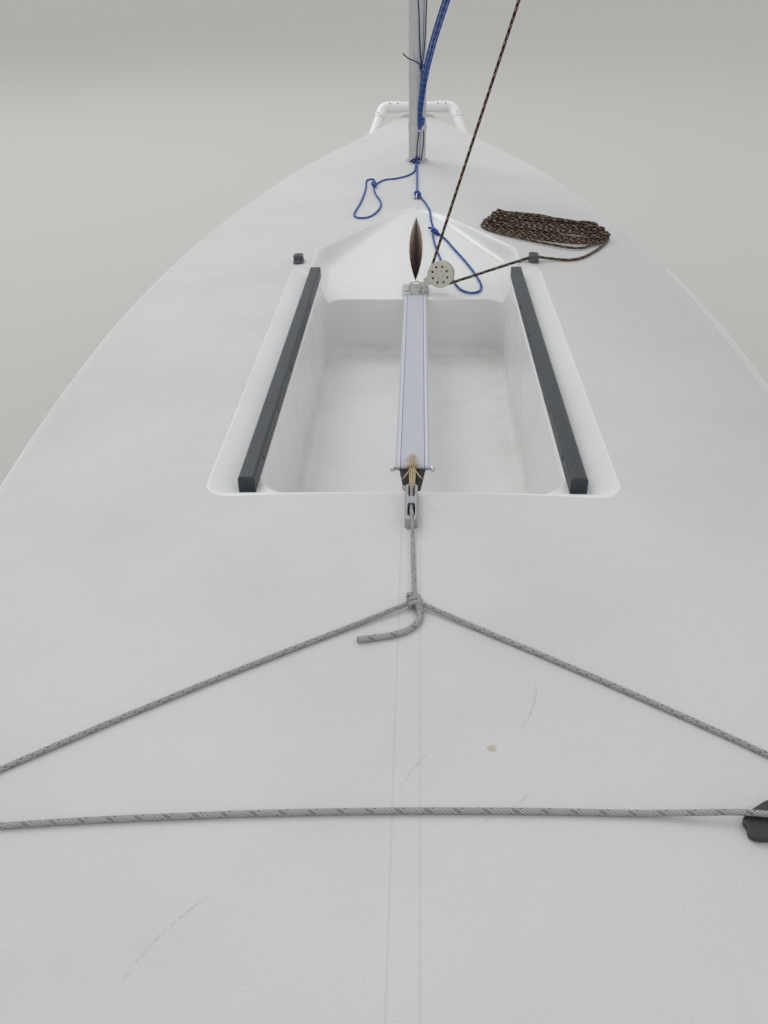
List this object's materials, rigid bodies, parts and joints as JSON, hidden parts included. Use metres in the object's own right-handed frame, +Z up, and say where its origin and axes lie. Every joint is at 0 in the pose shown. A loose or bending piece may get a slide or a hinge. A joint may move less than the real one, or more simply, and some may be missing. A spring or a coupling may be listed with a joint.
{
  "type": "rigged single-handed sailing dinghy on a home-made launching trolley",
  "caption": "Decked sailing dinghy with a sunk cockpit, unstayed mast, boom and sail, parked level on a two-wheeled trolley of white plastic pipe.",
  "frame": {"origin": "on the floor, below the middle of the overall length and of the beam", "axes": "+Y to the bow, +X to starboard, +Z up"},
  "size_m": [1.386, 4.238, 6.6076],
  "materials": {
    "gelcoat": "white gelcoat, fine non-skid on the deck, light dirt",
    "rail_plastic": "dark blue-grey moulded plastic",
    "strap_webbing": "pale webbing with a stitched seam along each edge",
    "stainless": "polished stainless sheet and wire",
    "block_plastic": "cream moulded plastic",
    "black_plastic": "black moulded plastic",
    "cleat_alloy": "worn grey alloy",
    "spar_alloy": "silver anodised tube",
    "sailcloth": "white woven sailcloth",
    "axle_steel": "plain steel bar",
    "pipe_plastic": "white plastic waste pipe",
    "foam": "grey closed-cell foam sleeve",
    "tyre": "black trolley tyre",
    "wheel_plastic": "white plastic wheel",
    "mainsheet_rope": "black rope with orange and white flecks",
    "blue_rope": "blue rope with light flecks"
  },
  "bodies": {
    "boat": {"axle_leg_port": "pipe_plastic", "axle_leg_starboard": "pipe_plastic", "control_line_port": "blue_rope", "control_line_starboard": "blue_rope", "deck_eye": "stainless", "drain_bung": "black_plastic", "grab_rail_port": "rail_plastic", "grab_rail_starboard": "rail_plastic", "gudgeon_lower": "stainless", "gudgeon_upper": "stainless", "hiking_strap": "strap_webbing", "hull": "gelcoat", "hull_pad_front_port": "foam", "hull_pad_front_starboard": "foam", "hull_pad_rear_port": "foam", "hull_pad_rear_starboard": "foam", "mast_collar": "black_plastic", "ratchet_block": "block_plastic", "sheet_cleat_port": "black_plastic", "sheet_cleat_starboard": "black_plastic", "sheet_hank": "mainsheet_rope", "sheet_tail": "mainsheet_rope", "strap_plate": "stainless", "traveller_block": "black_plastic", "traveller_cleat": "cleat_alloy", "traveller_fairlead_port": "black_plastic", "traveller_fairlead_starboard": "black_plastic", "trolley_axle": "axle_steel", "trolley_cross_front": "pipe_plastic", "trolley_cross_rear": "pipe_plastic", "trolley_foot_port": "pipe_plastic", "trolley_foot_starboard": "pipe_plastic", "trolley_handle": "pipe_plastic", "trolley_rail_port": "pipe_plastic", "trolley_rail_starboard": "pipe_plastic"},
    "rig": {"mast_lower": "spar_alloy", "mast_upper": "spar_alloy", "mast_joint_collar": "black_plastic", "boom": "spar_alloy", "boom_end_plug": "black_plastic", "gooseneck": "black_plastic", "vang_tang": "stainless", "vang_eye": "stainless", "boom_block_middle": "black_plastic", "boom_block_end": "black_plastic", "sail": "sailcloth"},
    "wheel_port": {"tyre_port": "tyre", "wheel_hub_port": "wheel_plastic"},
    "wheel_starboard": {"tyre_starboard": "tyre", "wheel_hub_starboard": "wheel_plastic"}
  },
  "joints": [
    {"name": "mast_turn", "type": "hinge", "parent": "boat", "child": "rig", "pos_m": [0, 1.279, 0.7402], "axis": [0, -0.0523, 0.9986], "range_deg": [-100, 80]},
    {"name": "wheel_port_spin", "type": "hinge", "parent": "boat", "child": "wheel_port", "pos_m": [-0.45584, -0.231, 0.2], "axis": [1, 0, 0], "continuous": true},
    {"name": "wheel_starboard_spin", "type": "hinge", "parent": "boat", "child": "wheel_starboard", "pos_m": [0.45584, -0.231, 0.2], "axis": [1, 0, 0], "continuous": true}
  ]
}
